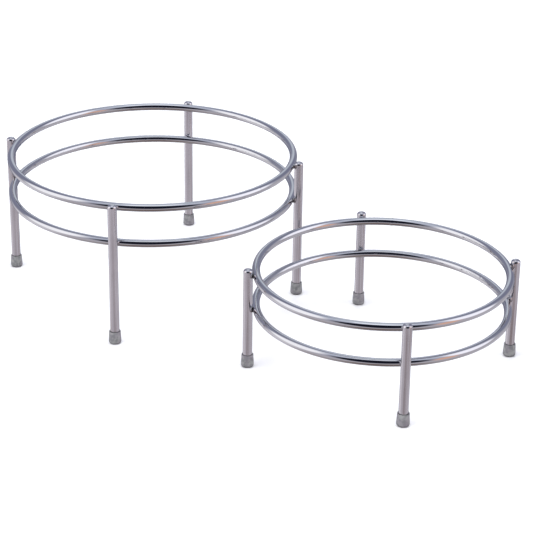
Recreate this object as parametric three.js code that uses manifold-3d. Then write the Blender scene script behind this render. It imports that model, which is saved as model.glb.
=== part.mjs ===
// A nesting pair of round wire stands that hold a bowl, pot or pan above a table.
// Each stand is two hoops of round rod, one above the other, spot-welded inside four upright rod legs.
// A leg's top is rounded off, and its bottom end stands in a soft push-on cap.
// Millimetres, +Z up. The origin is on the table, in the middle of the pair's footprint, and +X runs
// from the large stand to the small one.
import * as THREE from "three";
import { mergeVertices } from "three/addons/utils/BufferGeometryUtils.js";
import Module from "manifold-3d";

// ---- Driving dimensions ------------------------------------------------------------------------------

const HOOP_ROD = 6.35; // diameter of the rod that a hoop is bent from
const LEG_ROD = 7.6; // diameter of a leg
const LEG_TOP_ROUND = 2.1; // radius of the rounded edge at a leg's top
const LEG_FOOT_CHAMFER = 0.6; // around a leg's bottom end, inside the cap

const CAP_WALL = 0.85; // wall of a cap around its leg, at the mouth
const CAP_SOLE = 2.4; // thickness under the leg's end
const CAP_GRIP = 8.2; // length of leg that a cap covers
const CAP_FLARE = 0.35; // how much further out a cap's side is at the sole than at the mouth
const CAP_SOLE_ROUND = 1.5; // radius of the rounded edge around the sole
const CAP_MOUTH_CHAMFER = 0.35; // around the mouth's outer edge

const BEAD_WIDTH = 5.2; // a weld bead's length along the hoop
const BEAD_HEIGHT = 4.8; // its length along the leg
const BEAD_DEPTH = 2.6; // its length from the hoop towards the leg

const LARGE = {
  name: "large",
  hoopRadius: 120, // to the middle of the hoop's rod
  height: 121.5, // from the table to a leg's top
  legRise: 0.4, // how far a leg's top stands above the upper hoop's crest
  hoopSpacing: 31, // between the middles of the two hoops
  turn: 27, // degrees from +X to the first leg
  legs: ["right", "back", "left", "front"],
};
const SMALL = {
  name: "small",
  hoopRadius: 100,
  height: 84.7,
  legRise: 2.2,
  hoopSpacing: 29.5,
  turn: 45,
  legs: ["back_right", "back_left", "front_left", "front_right"],
};
const STAND_GAP = 16.25; // free distance between the two stands' hoops

// ---- Clearances --------------------------------------------------------------------------------------

const WELD_GAP = 0.1; // between a hoop and a leg where they meet, and around a weld bead
const CAP_GAP = 0.12; // around a leg inside its cap
const SEAT_GAP = 0.1; // between a leg's bottom end and the cap's sole

// ---- How finely round things are faceted -------------------------------------------------------------

const HOOP_STEPS = 72; // around a hoop, a multiple of the number of legs so that each leg meets a corner
const HOOP_SIDES = 12; // around a hoop's rod, a multiple of 4 so that its crest is at full height
const LEG_SIDES = 16; // around a leg and its cap
const BEAD_SIDES = 10; // around a weld bead
const ARC_STEPS = 3; // along a rounded edge

// ---- Materials ---------------------------------------------------------------------------------------

const HOOP_STEEL = new THREE.MeshStandardMaterial({ color: 0xb9bcc6, metalness: 1, roughness: 0.16 });
const LEG_STEEL = new THREE.MeshStandardMaterial({ color: 0xaeabb2, metalness: 1, roughness: 0.24 });
const WELD_STEEL = new THREE.MeshStandardMaterial({ color: 0x9b9ca4, metalness: 1, roughness: 0.34 });
const CAP_RUBBER = new THREE.MeshStandardMaterial({ color: 0x8d8f94, metalness: 0, roughness: 0.62 });

// ---- Shapes ------------------------------------------------------------------------------------------

// A solid turned about the Z axis, from a profile of [radius, height] points that runs up its outside.
function turned(profile) {
  const points = profile.map(([radius, height]) => new THREE.Vector2(radius, height));
  return new THREE.LatheGeometry(points, LEG_SIDES).rotateX(Math.PI / 2);
}

// Profile points along a quarter circle that starts at an angle in degrees, turning from outwards to up.
function quarterRound(centreRadius, centreHeight, size, startAngle) {
  return Array.from({ length: ARC_STEPS + 1 }, (_, step) => {
    const angle = THREE.MathUtils.degToRad(startAngle + (90 * step) / ARC_STEPS);
    return [centreRadius + size * Math.cos(angle), centreHeight + size * Math.sin(angle)];
  });
}

// A hoop lies flat with its middle at z = 0, and has a corner on the +X axis.
function hoopShape(hoopRadius, rodRadius) {
  return new THREE.TorusGeometry(hoopRadius, rodRadius, HOOP_SIDES, HOOP_STEPS);
}

function legShape(height) {
  const radius = LEG_ROD / 2;
  const bottom = CAP_SOLE + SEAT_GAP;
  return turned([
    [0, bottom],
    [radius - LEG_FOOT_CHAMFER, bottom],
    [radius, bottom + LEG_FOOT_CHAMFER],
    ...quarterRound(radius - LEG_TOP_ROUND, height - LEG_TOP_ROUND, LEG_TOP_ROUND, 0),
    [0, height],
  ]);
}

// A cup that stands on z = 0 and opens upwards around the leg's end.
function capShape() {
  const boreRadius = LEG_ROD / 2 + CAP_GAP;
  const mouthRadius = boreRadius + CAP_WALL;
  const soleRadius = mouthRadius + CAP_FLARE;
  const height = CAP_SOLE + CAP_GRIP;
  return turned([
    [0, 0],
    ...quarterRound(soleRadius - CAP_SOLE_ROUND, CAP_SOLE_ROUND, CAP_SOLE_ROUND, -90),
    [mouthRadius, height - CAP_MOUTH_CHAMFER],
    [mouthRadius - CAP_MOUTH_CHAMFER, height],
    [boreRadius, height],
    [boreRadius, CAP_SOLE],
    [0, CAP_SOLE],
  ]);
}

const wasm = await Module();
wasm.setup();

function toSolid(geometry) {
  const bare = geometry.clone();
  bare.deleteAttribute("normal");
  bare.deleteAttribute("uv");
  const merged = mergeVertices(bare);
  return new wasm.Manifold(
    new wasm.Mesh({
      numProp: 3,
      vertProperties: new Float32Array(merged.attributes.position.array),
      triVerts: new Uint32Array(merged.index.array),
    }),
  );
}

function toGeometry(solid) {
  const mesh = solid.getMesh();
  const geometry = new THREE.BufferGeometry();
  geometry.setAttribute("position", new THREE.BufferAttribute(mesh.vertProperties, 3));
  geometry.setIndex(new THREE.BufferAttribute(mesh.triVerts, 1));
  geometry.computeVertexNormals();
  return geometry;
}

// The weld metal around the spot where a hoop at z = 0 meets a leg on the +X side. It is a flattened
// lump that fills the crevice between the two rods, with room cut out of it for both.
function beadShape(hoopRadius, legCircle) {
  const lump = new THREE.SphereGeometry(0.5, BEAD_SIDES, BEAD_SIDES / 2)
    .rotateX(Math.PI / 2)
    .scale(BEAD_DEPTH, BEAD_WIDTH, BEAD_HEIGHT)
    .translate(hoopRadius + (HOOP_ROD + WELD_GAP) / 2, 0, 0);
  const hoopRoom = hoopShape(hoopRadius, HOOP_ROD / 2 + WELD_GAP);
  const legRoom = new THREE.CylinderGeometry(
    LEG_ROD / 2 + WELD_GAP,
    LEG_ROD / 2 + WELD_GAP,
    2 * BEAD_HEIGHT,
    LEG_SIDES,
  )
    .rotateX(Math.PI / 2)
    .translate(legCircle, 0, 0);
  return toGeometry(toSolid(lump).subtract(toSolid(hoopRoom)).subtract(toSolid(legRoom)));
}

// ---- Assembly ----------------------------------------------------------------------------------------

function piece(name, geometry, material, x, z) {
  const mesh = new THREE.Mesh(geometry, material);
  mesh.name = name;
  mesh.position.set(x, 0, z);
  return mesh;
}

// One stand, centred on the Z axis.
function buildStand({ name, hoopRadius, height, legRise, hoopSpacing, turn, legs }) {
  const upper = height - legRise - HOOP_ROD / 2;
  const hoopHeights = { upper, lower: upper - hoopSpacing };
  const legCircle = hoopRadius + HOOP_ROD / 2 + WELD_GAP + LEG_ROD / 2;

  const hoop = hoopShape(hoopRadius, HOOP_ROD / 2);
  const leg = legShape(height);
  const cap = capShape();
  const bead = beadShape(hoopRadius, legCircle);

  const stand = new THREE.Group();
  stand.rotation.z = THREE.MathUtils.degToRad(turn);
  for (const [level, z] of Object.entries(hoopHeights)) {
    stand.add(piece(`${name}_${level}_hoop`, hoop, HOOP_STEEL, 0, z));
  }
  legs.forEach((side, index) => {
    const corner = new THREE.Group();
    corner.rotation.z = (2 * Math.PI * index) / legs.length;
    corner.add(piece(`${name}_leg_${side}`, leg, LEG_STEEL, legCircle, 0));
    corner.add(piece(`${name}_foot_cap_${side}`, cap, CAP_RUBBER, legCircle, 0));
    for (const [level, z] of Object.entries(hoopHeights)) {
      corner.add(piece(`${name}_${level}_weld_${side}`, bead, WELD_STEEL, 0, z));
    }
    stand.add(corner);
  });
  return stand;
}

const pair = new THREE.Group();
const largeStand = buildStand(LARGE);
const smallStand = buildStand(SMALL);
smallStand.position.x = LARGE.hoopRadius + SMALL.hoopRadius + HOOP_ROD + STAND_GAP;
pair.add(largeStand, smallStand);

const footprint = new THREE.Box3().setFromObject(pair, true).getCenter(new THREE.Vector3());
pair.position.set(-footprint.x, -footprint.y, 0);

export default pair;
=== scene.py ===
"""The looks of a nesting pair of round wire stands: chromed hoops and legs, weld metal and soft foot caps.

Metres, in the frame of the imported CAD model: +Z up, the table at z = 0, +X from the large stand to the
small one. Every piece takes its place and its size from the CAD node that it stands for.
"""

import math

import bmesh
import bpy
import numpy as np
from mathutils import Matrix, Vector, noise


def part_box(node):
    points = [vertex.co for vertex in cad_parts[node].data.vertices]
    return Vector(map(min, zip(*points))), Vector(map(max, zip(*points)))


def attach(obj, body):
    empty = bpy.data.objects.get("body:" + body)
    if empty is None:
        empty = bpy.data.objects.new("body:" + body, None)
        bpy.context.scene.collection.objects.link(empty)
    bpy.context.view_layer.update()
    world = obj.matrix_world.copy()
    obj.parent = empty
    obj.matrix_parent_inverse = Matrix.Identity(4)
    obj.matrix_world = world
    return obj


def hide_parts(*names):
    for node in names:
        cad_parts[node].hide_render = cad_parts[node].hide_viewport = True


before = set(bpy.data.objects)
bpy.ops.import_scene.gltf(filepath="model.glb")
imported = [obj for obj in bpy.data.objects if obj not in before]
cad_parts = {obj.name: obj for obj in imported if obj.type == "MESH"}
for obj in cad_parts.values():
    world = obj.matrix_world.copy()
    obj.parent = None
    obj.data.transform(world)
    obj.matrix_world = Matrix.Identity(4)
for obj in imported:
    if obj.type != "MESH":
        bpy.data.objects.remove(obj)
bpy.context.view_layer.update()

MM = 0.001

# ---- What the object is made of --------------------------------------------------------------------------

STANDS = {
    "large": ["right", "back", "left", "front"],
    "small": ["back_right", "back_left", "front_left", "front_right"],
}
LEVELS = ["upper", "lower"]

WELD_SINK = 0.15 * MM  # how far a hoop has sunk into a leg at the weld

LEG_DOME_HEIGHT = 2.5 * MM  # height of the rounded part of a leg's top
LEG_DOME_FULLNESS = 0.72  # 1 makes the rounded part half an ellipse, and less gives it fuller shoulders
LEG_TOP_RISE = 0.5 * MM  # how far its middle stands above the plain leg's flat top
LEG_END_BEVEL = 0.5 * MM  # the cut corner at a leg's bottom end

CAP_WALL = 0.97 * MM  # from a leg to the outside of a cap at its mouth
CAP_LIP = 0.34 * MM  # radius of the rounded lip around the mouth
CAP_SOLE_EDGE = 1.7 * MM  # radius of the rounded edge around the sole
CAP_SOLE_HOLLOW = 0.25 * MM  # how far the sole's middle is off the table
CAP_SOLE_RIM = 2.3 * MM  # from the sole's hollow to the cap's outside
CAP_HOLLOW_EDGE = 0.3 * MM  # radius of the rounded edge around the hollow
CAP_FLOOR = 2.5 * MM  # height of the bore's bottom, where the leg stands
CAP_PLAY = 0.02 * MM  # between a leg and the bore

BUTT_BULGE = 0.16 * MM  # how far the butt weld that closes a hoop stands out
BUTT_WIDTH = 0.9 * MM  # its length along the rod
BUTT_TURNS = {  # degrees from a stand's first leg to each hoop's butt weld
    ("large", "upper"): -30,
    ("large", "lower"): 108,
    ("small", "upper"): 76,
    ("small", "lower"): 24,
}

BEAD = {  # millimetres, with the least and the most where each weld bead has a size of its own
    "half_outwards": 1.9,  # half of its size, for each direction
    "half_sideways": (2.7, 3.2),
    "half_up": (2.7, 3.3),
    "fillet": (1.2, 1.7),  # how far the metal rounds over the crevice between the two rods
    "drift_sideways": (-0.4, 0.4),  # of its middle from the contact
    "drift_up": (-0.4, 0.3),
    "thickness": 0.16,  # of the metal that lies on the rods, in the bead's middle
    "thinning": 0.42,  # how much less there is at its edge
    "lump_spacing": 1.1,
    "lump_height": 0.16,
    "farthest": 4.5,  # from the two rods' contact, where its skin is still sought
}

HOOP_STEPS = 360
HOOP_SIDES = 40
BUTT_STEPS = 14  # closer steps on each side of a butt weld
BUTT_STEP = 0.22 * MM
LEG_SIDES = 56
LEG_STEPS = 12
ARC_STEPS = 8
DOME_STEPS = 20
BEAD_DETAIL = 5  # subdivisions of a weld bead's ball of rays
BEAD_HALVINGS = 16  # of the stretch in which a ray meets the bead's skin
COINCIDENT = 0.0001 * MM  # vertices as close as this are one

# ---- The camera, at the real one's place and angle -------------------------------------------------------

CAMERA_PLACE = (0.880857, -1.100304, 0.684846)
CAMERA_AZIMUTH = 38.229  # degrees, which way it looks: 0 is along +Y, and 90 is along -X
CAMERA_PITCH = 24.423  # degrees below level
CAMERA_ROLL = 0.794  # degrees
CAMERA_LENS = 124.756  # mm
CAMERA_SENSOR = 36.0  # mm


# ---- Meshes ----------------------------------------------------------------------------------------------


def make_piece(name, mesh, material, stand, node):
    """Puts a finished mesh into the scene as the piece that stands for a CAD node."""
    mesh.materials.append(material)
    mesh.shade_smooth()
    piece = bpy.data.objects.new(name, mesh)
    bpy.context.scene.collection.objects.link(piece)
    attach(piece, f"{stand}_stand")
    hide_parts(node)


def tube_mesh(name, rings, along, closed):
    """A skin through rings of points, given as an array [ring, side, xyz].

    A closed tube joins its last ring to its first, and an open one is capped by a fan at each end. The
    attribute "rod" holds how far along the rod a corner is, in along, and the cosine and the sine of its
    angle around it, so that a pattern can run along the rod without a seam on its side.
    """
    count, sides = rings.shape[:2]
    vertices = [tuple(p) for p in rings.reshape(-1, 3)]
    faces = []
    corners = []

    def corner(ring, side):
        angle = 2 * math.pi * side / sides
        return along[ring], math.cos(angle), math.sin(angle)

    for ring in range(count if closed else count - 1):
        for side in range(sides):
            steps = [(ring, side), (ring + 1, side), (ring + 1, side + 1), (ring, side + 1)]
            faces.append([(r % count) * sides + s % sides for r, s in steps])
            corners.extend(corner(r, s) for r, s in steps)
    if not closed:
        for ring, turn in ((0, 1), (count - 1, -1)):
            middle = len(vertices)
            vertices.append(tuple(rings[ring].mean(axis=0)))
            for side in range(sides):
                pair = [(ring, side), (ring, side + 1)][::turn]
                faces.append([middle] + [r * sides + s % sides for r, s in pair])
                corners.append((along[ring], 0.0, 0.0))
                corners.extend(corner(r, s) for r, s in pair)
    mesh = bpy.data.meshes.new(name)
    mesh.from_pydata(vertices, [], faces)
    mesh.update()
    rod = mesh.attributes.new("rod", "FLOAT_VECTOR", "CORNER")
    rod.data.foreach_set("vector", np.array(corners, np.float32).ravel())
    clean(mesh)
    return mesh


def clean(mesh):
    """Joins the vertices of a closed mesh that coincide, and turns every face so that it looks out."""
    work = bmesh.new()
    work.from_mesh(mesh)
    bmesh.ops.remove_doubles(work, verts=work.verts, dist=COINCIDENT)
    bmesh.ops.recalc_face_normals(work, faces=work.faces)
    work.to_mesh(mesh)
    work.free()


def turned_mesh(name, profile, x, y, sides, start=0.0):
    """A solid of revolution about the upright line at x and y, from (radius, height) points.

    Its "rod" attribute counts the length along the profile from start.
    """
    angles = np.arange(sides) * 2 * math.pi / sides
    cosines, sines = np.cos(angles), np.sin(angles)
    rings = np.array(
        [
            np.stack([x + radius * cosines, y + radius * sines, np.full(sides, height)], axis=1)
            for radius, height in profile
        ]
    )
    lengths = [start]
    for (radius, height), (next_radius, next_height) in zip(profile, profile[1:]):
        lengths.append(lengths[-1] + math.hypot(next_radius - radius, next_height - height))
    return tube_mesh(name, rings, lengths, closed=False)


def arc(centre_radius, centre_height, size, start, end, steps=ARC_STEPS):
    """Profile points along an arc, from one angle to another in degrees, 0 outwards and 90 up."""
    angles = [math.radians(start + (end - start) * step / steps) for step in range(steps + 1)]
    return [(centre_radius + size * math.cos(a), centre_height + size * math.sin(a)) for a in angles]


def dome(radius, shoulder, top):
    """Profile points over a leg's rounded top, from its shoulder to its middle on the axis."""
    angles = [math.radians(90 * step / DOME_STEPS) for step in range(DOME_STEPS)]
    height = top - shoulder
    rounded = [(radius * math.cos(a) ** LEG_DOME_FULLNESS, shoulder + height * math.sin(a)) for a in angles]
    return [*rounded, (0.0, top)]


# ---- Places and sizes, measured on the CAD nodes ---------------------------------------------------------


def node_points(node):
    return np.array([v.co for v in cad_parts[node].data.vertices], float)


def round_size(node):
    """The middle of a round node's box, and how far out its farthest vertex is from the upright axis."""
    low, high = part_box(node)
    middle = (low + high) / 2
    points = node_points(node)
    reach = np.hypot(points[:, 0] - middle.x, points[:, 1] - middle.y).max()
    return middle, reach, low.z, high.z


def leg_size(stand, side):
    middle, radius, bottom, top = round_size(f"{stand}_leg_{side}")
    return {"x": middle.x, "y": middle.y, "radius": radius, "bottom": bottom, "top": top}


def hoop_size(stand, level):
    """A hoop's middle, the radius of its rod, and the radius at which that rod touches the legs."""
    middle, _, bottom, top = round_size(f"{stand}_{level}_hoop")
    rod = (top - bottom) / 2
    leg = leg_size(stand, STANDS[stand][0])
    leg_circle = math.hypot(leg["x"] - middle.x, leg["y"] - middle.y)
    return {
        "middle": middle,
        "rod": rod,
        "ring": leg_circle - leg["radius"] - rod + WELD_SINK,
        "first_leg": math.atan2(leg["y"] - middle.y, leg["x"] - middle.x),
    }


# ---- Hoops -----------------------------------------------------------------------------------------------


def hoop_angles(ring):
    """Angles around a hoop from its butt weld, closer together on both sides of the weld."""
    even = np.arange(HOOP_STEPS) * 2 * math.pi / HOOP_STEPS
    near = np.arange(-BUTT_STEPS, BUTT_STEPS + 1) * BUTT_STEP / ring
    clear_of_weld = [a for a in even if min(a, 2 * math.pi - a) > near[-1] * 1.1]
    return np.sort(np.concatenate([clear_of_weld, near % (2 * math.pi)]))


def build_hoop(stand, level, material):
    size = hoop_size(stand, level)
    start = size["first_leg"] + math.radians(BUTT_TURNS[stand, level])
    turns = hoop_angles(size["ring"])
    around = np.arange(HOOP_SIDES) * 2 * math.pi / HOOP_SIDES
    from_weld = (turns + math.pi) % (2 * math.pi) - math.pi
    # The weld's flash was ground off on top and outside, and is left a little proud underneath.
    left_on = 0.35 + 0.65 * np.clip(-np.sin(around + 0.5), 0, 1)
    bulge = BUTT_BULGE * np.exp(-((from_weld * size["ring"] / BUTT_WIDTH) ** 2))
    radius = size["rod"] + bulge[:, None] * left_on[None, :]
    out = size["ring"] + radius * np.cos(around)[None, :]
    middle = size["middle"]
    rings = np.stack(
        [
            middle.x + out * np.cos(start + turns)[:, None],
            middle.y + out * np.sin(start + turns)[:, None],
            middle.z + radius * np.sin(around)[None, :],
        ],
        axis=2,
    )
    along = list(turns * size["ring"]) + [2 * math.pi * size["ring"]]
    node = f"{stand}_{level}_hoop"
    mesh = tube_mesh(f"{node}_rod", rings, along, closed=True)
    make_piece(f"{node}_rod", mesh, material, stand, node)


# ---- Legs and foot caps ----------------------------------------------------------------------------------


def build_leg(stand, side, material):
    leg = leg_size(stand, side)
    node = f"{stand}_leg_{side}"
    radius, bottom, top = leg["radius"], leg["bottom"], leg["top"] + LEG_TOP_RISE
    shoulder = top - LEG_DOME_HEIGHT
    profile = [
        (0.0, bottom),
        (radius - LEG_END_BEVEL, bottom),
        (radius, bottom + LEG_END_BEVEL),
        *[(radius, bottom + (shoulder - bottom) * step / LEG_STEPS) for step in range(1, LEG_STEPS)],
        *dome(radius, shoulder, top),
    ]
    # No two legs carry the same lines, because each starts at a length that comes from its place.
    start = 10 * leg["x"] + 17 * leg["y"]
    mesh = turned_mesh(f"{node}_rod", profile, leg["x"], leg["y"], LEG_SIDES, start)
    make_piece(f"{node}_rod", mesh, material, stand, node)


def build_cap(stand, side, material):
    node = f"{stand}_foot_cap_{side}"
    middle, sole_radius, bottom, top = round_size(node)
    leg_radius = leg_size(stand, side)["radius"]
    mouth_radius = leg_radius + CAP_WALL
    edge, lip = CAP_SOLE_EDGE, CAP_LIP
    hollow_radius = sole_radius - CAP_SOLE_RIM
    profile = [
        (0.0, bottom + CAP_SOLE_HOLLOW),
        (hollow_radius - CAP_HOLLOW_EDGE, bottom + CAP_SOLE_HOLLOW),
        *arc(hollow_radius, bottom + CAP_HOLLOW_EDGE, CAP_HOLLOW_EDGE, -150, -90, 3),
        *arc(sole_radius - edge, bottom + edge, edge, -90, 0),
        (sole_radius - 0.02 * MM, bottom + 3.2 * MM),
        (sole_radius - 0.1 * MM, bottom + 5.0 * MM),
        (mouth_radius + 0.04 * MM, top - 2.4 * MM),
        *arc(mouth_radius - lip, top - lip, lip, 0, 130, 6),
        (leg_radius + 0.3 * MM, top - 1.1 * MM),
        (leg_radius + CAP_PLAY, top - 2.2 * MM),
        (leg_radius + CAP_PLAY, bottom + CAP_FLOOR),
        (0.0, bottom + CAP_FLOOR),
    ]
    mesh = turned_mesh(f"{node}_moulding", profile, middle.x, middle.y, LEG_SIDES)
    make_piece(f"{node}_moulding", mesh, material, stand, node)


# ---- Weld metal ------------------------------------------------------------------------------------------


def smooth_min(a, b, reach):
    """The lesser of two distances, rounded over where they are within reach of each other."""
    blend = max(reach - abs(a - b), 0.0) / reach
    return min(a, b) - blend * blend * reach / 4


def build_bead(stand, level, side, material, seed):
    """Weld metal in the crevice where a hoop crosses a leg: an uneven fillet that fades into both rods."""
    hoop = hoop_size(stand, level)
    leg = leg_size(stand, side)
    node = f"{stand}_{level}_weld_{side}"
    middle = hoop["middle"]
    outwards = Vector((leg["x"] - middle.x, leg["y"] - middle.y, 0)).normalized()
    sideways = Vector((-outwards.y, outwards.x, 0))
    contact = middle + outwards * (hoop["ring"] + hoop["rod"] - WELD_SINK / 2)
    luck = np.random.default_rng(seed)
    half_sideways, half_up = luck.uniform(*BEAD["half_sideways"]), luck.uniform(*BEAD["half_up"])
    half = Vector((BEAD["half_outwards"], half_sideways, half_up)) * MM
    fillet = luck.uniform(*BEAD["fillet"]) * MM
    drift = Vector((0, luck.uniform(*BEAD["drift_sideways"]), luck.uniform(*BEAD["drift_up"]))) * MM
    roll = Vector(luck.uniform(0, 9, 3))

    def placed(local):
        """A point given from the contact as outwards, sideways and up, in the model's frame."""
        return contact + outwards * local.x + sideways * local.y + Vector((0, 0, local.z))

    def outside(local):
        """How far a point is outside the weld metal, below zero inside it."""
        point = placed(local)
        flat = point - middle
        ring_gap = math.hypot(math.hypot(flat.x, flat.y) - hoop["ring"], flat.z) - hoop["rod"]
        leg_gap = math.hypot(point.x - leg["x"], point.y - leg["y"]) - leg["radius"]
        spread = Vector([(local[k] - drift[k]) / half[k] for k in range(3)])
        lumps = noise.noise(local / (BEAD["lump_spacing"] * MM) + roll) * BEAD["lump_height"] * MM
        thickness = (BEAD["thickness"] - BEAD["thinning"] * spread.length_squared) * MM
        skin = smooth_min(ring_gap, leg_gap, fillet) - thickness - lumps
        past_its_size = (spread.length - 1) * 2 * MM
        return max(skin, past_its_size)

    ball = bmesh.new()
    bmesh.ops.create_icosphere(ball, subdivisions=BEAD_DETAIL, radius=1.0)
    for vertex in ball.verts:
        way = vertex.co.normalized()
        near, far = 0.0, BEAD["farthest"] * MM
        for _ in range(BEAD_HALVINGS):
            half_way = (near + far) / 2
            if outside(way * half_way) < 0:
                near = half_way
            else:
                far = half_way
        vertex.co = placed(way * near)
    mesh = bpy.data.meshes.new(f"{node}_metal")
    ball.to_mesh(mesh)
    ball.free()
    clean(mesh)
    make_piece(f"{node}_metal", mesh, material, stand, node)


# ---- Materials -------------------------------------------------------------------------------------------

# Colours, with alpha. The scales of the patterns below count their features in a metre.
PIT_GREY = (0.26, 0.25, 0.26, 1)
# Painted reflection: the brown painted into the broader streaks along the legs.
PAINTED_REFLECTION_BROWN = (0.34, 0.27, 0.25, 1)
WELD_GREY = (0.62, 0.62, 0.64, 1)
WELD_STAIN = (0.2, 0.16, 0.13, 1)
# Painted shade: the near black that the hollows of the weld's ripple are painted with.
PAINTED_SHADE_BLACK = (0.02, 0.018, 0.022, 1)
RUBBER_DARK = (0.19, 0.195, 0.20, 1)
RUBBER_PALE = (0.34, 0.345, 0.34, 1)
RUBBER_BLOTCH = (0.26, 0.225, 0.27, 1)
RUBBER_SOLE = (0.10, 0.10, 0.11, 1)
# Painted shade at the caps' edges, where they are seen edge on.
RUBBER_EDGE_SHADE = (0.06, 0.065, 0.08, 1)


class Nodes:
    """A short way to lay out shader nodes."""

    def __init__(self, tree):
        self.tree = tree
        tree.nodes.clear()

    def add(self, kind, settings=None, **inputs):
        """A new node. An input is given as a value or as another node's output, by its name."""
        node = self.tree.nodes.new(kind)
        for key, value in (settings or {}).items():
            setattr(node, key, value)
        for key, value in inputs.items():
            self.put(node.inputs[key.replace("_", " ")], value)
        return node

    def put(self, socket, value):
        if isinstance(value, bpy.types.NodeSocket):
            self.tree.links.new(value, socket)
        else:
            socket.default_value = value

    def maths(self, operation, *values):
        node = self.tree.nodes.new("ShaderNodeMath")
        node.operation = operation
        for socket, value in zip(node.inputs, values):
            self.put(socket, value)
        return node.outputs[0]

    def ramp(self, value, stops):
        """A colour ramp from (place, colour) stops."""
        node = self.tree.nodes.new("ShaderNodeValToRGB")
        while len(node.color_ramp.elements) < len(stops):
            node.color_ramp.elements.new(0.5)
        for element, (place, colour) in zip(node.color_ramp.elements, stops):
            element.position = place
            element.color = (*colour, 1)
        self.put(node.inputs["Fac"], value)
        return node.outputs["Color"]

    def spread(self, value, low, high, to_low, to_high, smooth=True):
        """value carried from one range to another, held at its ends."""
        node = self.tree.nodes.new("ShaderNodeMapRange")
        node.interpolation_type = "SMOOTHSTEP" if smooth else "LINEAR"
        for key, number in (("From Min", low), ("From Max", high), ("To Min", to_low), ("To Max", to_high)):
            self.put(node.inputs[key], number)
        self.put(node.inputs["Value"], value)
        return node.outputs["Result"]

    def mix(self, share, a, b):
        """Colour a, with a share of colour b."""
        node = self.tree.nodes.new("ShaderNodeMix")
        node.data_type = "RGBA"
        self.put(node.inputs[0], share)
        self.put(node.inputs[6], a)
        self.put(node.inputs[7], b)
        return node.outputs[2]

    def noise(self, vector, scale, detail=3.0, roughness=0.55, distortion=0.0):
        node = self.add(
            "ShaderNodeTexNoise",
            Vector=vector,
            Scale=scale,
            Detail=detail,
            Roughness=roughness,
            Distortion=distortion,
        )
        return node.outputs[0]

    def surface(self, colour, metallic, rough, height, strength, distance):
        """Ends a material: the principled shader, over a bump from height."""
        bump = self.add("ShaderNodeBump", Height=height, Strength=strength, Distance=distance)
        shader = self.add(
            "ShaderNodeBsdfPrincipled",
            Base_Color=colour,
            Metallic=metallic,
            Roughness=rough,
            Normal=bump.outputs["Normal"],
        )
        self.add("ShaderNodeOutputMaterial", Surface=shader.outputs["BSDF"])


def new_material(name):
    material = bpy.data.materials.new(name)
    material.use_nodes = True
    return material, Nodes(material.node_tree)


def rod_pattern(nodes, along, around, offset):
    """Coordinates for a pattern that follows a rod, with one scale along it and one around it."""
    rod = nodes.add("ShaderNodeAttribute", {"attribute_name": "rod"}).outputs["Vector"]
    scaled = nodes.add(
        "ShaderNodeMapping",
        Vector=rod,
        Location=(offset, offset * 0.7, 0),
        Scale=(along, around, around),
    )
    return scaled.outputs["Vector"]


def plated_steel(name, tint, dark_tint, polish, dullest, wobble, brown_reflection):
    """Bright plating over drawn rod: draw lines, a faint orange peel, clouded patches and tiny pits.

    Its roughness runs from polish to dullest, wobble is its bump's height in metres, and the last argument,
    from 0 to 1, is how brown the broader streaks along the rod are painted, as a painted reflection.
    """
    material, nodes = new_material(name)
    place = nodes.add("ShaderNodeTexCoord").outputs["Object"]
    lines = nodes.noise(rod_pattern(nodes, 9.0, 9.0, 0.0), 1.0, detail=5.0, roughness=0.7)
    streaks = nodes.noise(rod_pattern(nodes, 26.0, 3.2, 4.0), 1.0, detail=2.0)
    bands = nodes.noise(rod_pattern(nodes, 7.0, 1.9, 2.0), 1.0, detail=3.0, roughness=0.6)
    clouds = nodes.noise(place, 34.0, detail=3.0)
    peel = nodes.noise(place, 240.0, detail=2.0)
    specks = nodes.add("ShaderNodeTexVoronoi", {"feature": "F1"}, Vector=place, Scale=1250.0)
    pick = nodes.add("ShaderNodeSeparateColor", Color=specks.outputs["Color"]).outputs[0]
    rare = nodes.spread(pick, 0.94, 0.99, 0.0, 1.0)
    pit_size = nodes.spread(specks.outputs["Distance"], 0.1, 0.26, 1.0, 0.0)
    pits = nodes.maths("MULTIPLY", rare, pit_size)

    clouded = nodes.spread(clouds, 0.38, 0.72, 0.0, 1.0)
    lined = nodes.spread(lines, 0.35, 0.7, 0.0, 1.0)
    hazy_tint = (*(c * 0.955 for c in tint[:3]), 1)
    colour = nodes.mix(clouded, tint, hazy_tint)
    colour = nodes.mix(nodes.maths("MULTIPLY", lined, 0.35), colour, dark_tint)
    # Painted reflection: brown streaks along the rod, painted into the colour.
    brown_reflection_share = nodes.spread(bands, 0.5, 0.68, 0.0, brown_reflection)
    colour = nodes.mix(brown_reflection_share, colour, PAINTED_REFLECTION_BROWN)
    colour = nodes.mix(pits, colour, PIT_GREY)

    rough = nodes.maths("MULTIPLY_ADD", clouded, (dullest - polish) * 0.6, polish)
    rough = nodes.maths("MULTIPLY_ADD", lined, (dullest - polish) * 0.4, rough)
    rough = nodes.maths("MULTIPLY_ADD", pits, 0.35, rough)

    height = nodes.maths("MULTIPLY_ADD", streaks, 0.9, nodes.maths("MULTIPLY", lines, 0.35))
    height = nodes.maths("MULTIPLY_ADD", peel, 0.25, height)
    height = nodes.maths("MULTIPLY_ADD", pits, -1.5, height)
    nodes.surface(colour, metallic=1.0, rough=rough, height=height, strength=1.0, distance=wobble)
    return material


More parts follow.
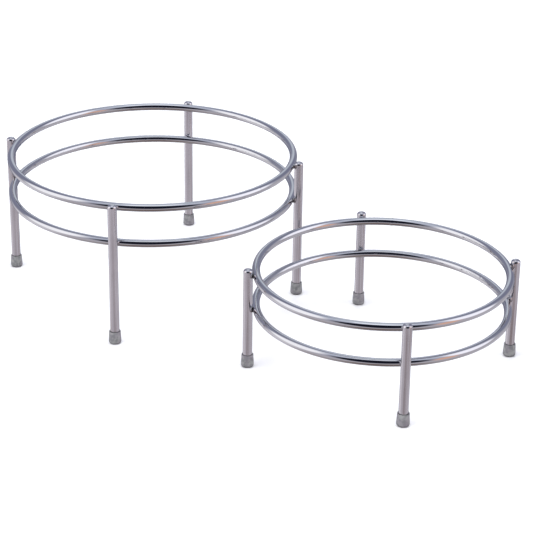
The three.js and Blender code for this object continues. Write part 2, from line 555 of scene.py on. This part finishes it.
def weld_steel():
    """Weld metal that was plated with the rest: duller, darker and rippled, with painted shade, near black,
    in the hollows of its ripple.
    """
    material, nodes = new_material("weld_metal")
    place = nodes.add("ShaderNodeTexCoord").outputs["Object"]
    ripple = nodes.noise(place, 900.0, detail=3.0, distortion=0.6)
    grain = nodes.noise(place, 2600.0, detail=2.0)
    stains = nodes.noise(place, 420.0, detail=4.0, distortion=0.4)
    hollow = nodes.spread(ripple, 0.45, 0.6, 1.0, 0.0)
    stained = nodes.spread(stains, 0.5, 0.66, 0.0, 1.0)
    colour = nodes.mix(nodes.maths("MULTIPLY", stained, 0.6), WELD_GREY, WELD_STAIN)
    # Painted shade: the ripple's hollows are painted near black.
    colour = nodes.mix(nodes.maths("MULTIPLY", hollow, 0.92), colour, PAINTED_SHADE_BLACK)
    rough = nodes.maths("MULTIPLY_ADD", hollow, 0.25, nodes.maths("MULTIPLY_ADD", grain, 0.2, 0.16))
    height = nodes.maths("MULTIPLY_ADD", grain, 0.2, ripple)
    nodes.surface(colour, metallic=1.0, rough=rough, height=height, strength=0.8, distance=0.22 * MM)
    return material


def soft_rubber():
    """Grey moulded rubber: mottled, scuffed and dark towards the sole, with a fine satin grain."""
    material, nodes = new_material("cap_rubber")
    place = nodes.add("ShaderNodeTexCoord").outputs["Object"]
    height_up = nodes.add("ShaderNodeSeparateXYZ", Vector=place).outputs["Z"]
    mottle = nodes.noise(place, 330.0, detail=4.0)
    blotch = nodes.noise(place, 110.0, detail=2.0)
    grain = nodes.noise(place, 3200.0, detail=2.0)
    scuffs = nodes.noise(rod_pattern(nodes, 2600.0, 5.0, 1.0), 1.0, detail=3.0)
    near_sole = nodes.spread(height_up, 0.0, 0.0026, 1.0, 0.0)
    colour = nodes.mix(nodes.spread(mottle, 0.36, 0.64, 0.0, 1.0), RUBBER_DARK, RUBBER_PALE)
    colour = nodes.mix(nodes.spread(blotch, 0.4, 0.65, 0.0, 0.5), colour, RUBBER_BLOTCH)
    colour = nodes.mix(nodes.maths("MULTIPLY", near_sole, 0.65), colour, RUBBER_SOLE)
    # Painted shade: the moulding is painted darker where it is seen edge on.
    painted_edge_shade = nodes.add("ShaderNodeLayerWeight", Blend=0.3).outputs["Facing"]
    colour = nodes.mix(nodes.spread(painted_edge_shade, 0.35, 0.85, 0.0, 0.8), colour, RUBBER_EDGE_SHADE)
    rough = nodes.maths("MULTIPLY_ADD", mottle, 0.22, 0.46)
    rough = nodes.maths("MULTIPLY_ADD", near_sole, 0.15, rough)
    bumps = nodes.maths("MULTIPLY_ADD", grain, 0.4, nodes.maths("MULTIPLY", mottle, 0.8))
    bumps = nodes.maths("MULTIPLY_ADD", nodes.spread(scuffs, 0.55, 0.75, 0.0, 1.0), 0.25, bumps)
    nodes.surface(colour, metallic=0.0, rough=rough, height=bumps, strength=0.6, distance=0.12 * MM)
    return material


# ---- The studio ------------------------------------------------------------------------------------------

# What the bright metal sees around it, in light per unit of white: first from straight down to straight
# up, then soft patches on top.
ROOM = [
    (-90, (0.36, 0.32, 0.32)),
    (-60, (0.44, 0.41, 0.42)),
    (-24, (0.60, 0.56, 0.61)),
    (5, (0.52, 0.51, 0.57)),
    (35, (0.52, 0.53, 0.64)),
    (60, (0.62, 0.66, 0.80)),
    (90, (0.95, 1.00, 1.08)),
]
# A patch is an ellipse: the azimuth and the elevation of its middle, half its size both ways, its core and
# its colour. Azimuths count from the camera to its right, all angles are in degrees, and the colour is
# whole within the core, a share of the ellipse, and gone at its edge.
PATCHES = [
    ((180, -36), (110, 30), 0.4, (0.66, 0.65, 0.69)),  # the floor behind
    ((-112, -24), (50, 24), 0.4, (0.84, 0.81, 0.86)),  # the floor at the left
    ((-142, 32), (40, 46), 0.6, (0.27, 0.28, 0.38)),  # shade at the back left
    ((146, 36), (36, 48), 0.6, (0.26, 0.27, 0.37)),  # shade at the back right
    ((180, 36), (20, 50), 0.3, (0.66, 0.71, 0.80)),  # the wall behind
    ((180, -18), (50, 27), 0.55, (0.20, 0.21, 0.28)),  # the foot of that wall
    ((2, -54), (68, 37), 0.4, (0.21, 0.16, 0.15)),  # the floor in front
    ((-2, 30), (53, 46), 0.68, (0.010, 0.011, 0.022)),  # the dark room around the camera
    ((54, 8), (17, 31), 0.3, (0.94, 0.56, 0.41)),  # a warm wall
    ((-84, 24), (36, 42), 0.6, (1.34, 1.32, 1.36)),  # the left softbox
    ((86, 29), (30, 38), 0.6, (1.40, 1.38, 1.48)),  # the right softbox
    ((0, 90), (180, 16), 0.85, (1.32, 1.37, 1.50)),  # the light overhead
]
BACKGROUND = (0.93, 0.93, 0.935, 1)  # what the camera sees beyond the floor

FLOOR_HALF = 9.0  # metres from its middle to its edges
FLOOR_CELLS = 24
FLOOR_GREY = (0.90, 0.90, 0.905, 1)
FLOOR_WHITE = (0.92, 0.92, 0.92, 1)


def build_studio():
    world = bpy.data.worlds.new("studio")
    world.use_nodes = True
    bpy.context.scene.world = world
    nodes = Nodes(world.node_tree)
    way = nodes.add("ShaderNodeTexCoord").outputs["Generated"]
    turned = nodes.add(
        "ShaderNodeVectorRotate",
        {"rotation_type": "Z_AXIS"},
        Vector=way,
        Angle=math.radians(90 - CAMERA_AZIMUTH),
    )
    xyz = nodes.add("ShaderNodeSeparateXYZ", Vector=turned.outputs["Vector"])
    azimuth = nodes.maths("DEGREES", nodes.maths("ARCTAN2", xyz.outputs["Y"], xyz.outputs["X"]))
    elevation = nodes.maths("DEGREES", nodes.maths("ARCSINE", xyz.outputs["Z"]))
    stops = [((degrees + 90) / 180, colour) for degrees, colour in ROOM]
    light = nodes.ramp(nodes.spread(elevation, -90, 90, 0, 1, smooth=False), stops)
    for (at_azimuth, at_elevation), (half_width, half_height), core, colour in PATCHES:
        across = nodes.maths("WRAP", nodes.maths("SUBTRACT", azimuth, at_azimuth), 180.0, -180.0)
        up = nodes.maths("SUBTRACT", elevation, at_elevation)
        away = nodes.maths(
            "SQRT",
            nodes.maths(
                "ADD",
                nodes.maths("POWER", nodes.maths("DIVIDE", across, half_width), 2.0),
                nodes.maths("POWER", nodes.maths("DIVIDE", up, half_height), 2.0),
            ),
        )
        light = nodes.mix(nodes.spread(away, core, 1.0, 1.0, 0.0), light, (*colour, 1))
    seen = nodes.add("ShaderNodeLightPath").outputs["Is Camera Ray"]
    light = nodes.mix(seen, light, BACKGROUND)
    glow = nodes.add("ShaderNodeBackground", Color=light, Strength=1.0)
    nodes.add("ShaderNodeOutputWorld", Surface=glow.outputs["Background"])


def build_floor():
    """A wide pale floor, which bright metal doesn't mirror: it mirrors the studio around it."""
    grid = bmesh.new()
    bmesh.ops.create_grid(grid, x_segments=FLOOR_CELLS, y_segments=FLOOR_CELLS, size=FLOOR_HALF)
    mesh = bpy.data.meshes.new("floor")
    grid.to_mesh(mesh)
    grid.free()
    material, nodes = new_material("pale_floor")
    place = nodes.add("ShaderNodeTexCoord").outputs["Object"]
    faint = nodes.noise(place, 3.0, detail=2.0)
    colour = nodes.mix(nodes.spread(faint, 0.3, 0.7, 0.0, 1.0), FLOOR_GREY, FLOOR_WHITE)
    shader = nodes.add("ShaderNodeBsdfDiffuse", Color=colour, Roughness=0.0)
    nodes.add("ShaderNodeOutputMaterial", Surface=shader.outputs["BSDF"])
    mesh.materials.append(material)
    floor = bpy.data.objects.new("floor", mesh)
    bpy.context.scene.collection.objects.link(floor)
    floor.visible_glossy = False


def build_lamp(name, azimuth, elevation, distance, size, power):
    """A soft square lamp that looks at the object from an azimuth, from the camera to its right."""
    turn = math.radians(CAMERA_AZIMUTH - 90 + azimuth)
    rise = math.radians(elevation)
    way = Vector((math.cos(turn) * math.cos(rise), math.sin(turn) * math.cos(rise), math.sin(rise)))
    data = bpy.data.lights.new(name, "AREA")
    data.size = size
    data.energy = power
    lamp = bpy.data.objects.new(name, data)
    lamp.location = way * distance
    lamp.rotation_mode = "QUATERNION"
    lamp.rotation_quaternion = way.to_track_quat("Z", "Y")
    lamp.visible_glossy = False
    bpy.context.scene.collection.objects.link(lamp)


def build_camera():
    data = bpy.data.cameras.new("camera")
    data.lens = CAMERA_LENS
    data.sensor_width = CAMERA_SENSOR
    data.clip_start, data.clip_end = 0.05, 60.0
    camera = bpy.data.objects.new("camera", data)
    bpy.context.scene.collection.objects.link(camera)
    camera.matrix_world = (
        Matrix.Translation(CAMERA_PLACE)
        @ Matrix.Rotation(math.radians(CAMERA_AZIMUTH), 4, "Z")
        @ Matrix.Rotation(math.radians(90 - CAMERA_PITCH), 4, "X")
        @ Matrix.Rotation(math.radians(CAMERA_ROLL), 4, "Z")
    )
    bpy.context.scene.camera = camera


# ---- The scene -------------------------------------------------------------------------------------------

build_camera()
build_studio()
build_floor()
build_lamp("overhead", azimuth=-20, elevation=72, distance=2.6, size=2.4, power=60)
build_lamp("back_fill", azimuth=170, elevation=50, distance=3.0, size=2.0, power=25)
bpy.context.scene.view_settings.view_transform = "Standard"

hoop_plating = plated_steel(
    "hoop_chrome",
    tint=(0.66, 0.665, 0.685, 1),
    dark_tint=(0.54, 0.54, 0.57, 1),
    polish=0.025,
    dullest=0.07,
    wobble=0.01 * MM,
    brown_reflection=0.0,
)
leg_plating = plated_steel(
    "leg_chrome",
    tint=(0.68, 0.668, 0.695, 1),
    dark_tint=(0.53, 0.52, 0.54, 1),
    polish=0.13,
    dullest=0.27,
    wobble=0.025 * MM,
    brown_reflection=0.5,
)
weld_metal = weld_steel()
rubber = soft_rubber()

seed = 1
for stand, sides in STANDS.items():
    for level in LEVELS:
        build_hoop(stand, level, hoop_plating)
    for side in sides:
        build_leg(stand, side, leg_plating)
        build_cap(stand, side, rubber)
        for level in LEVELS:
            build_bead(stand, level, side, weld_metal, seed)
            seed += 1
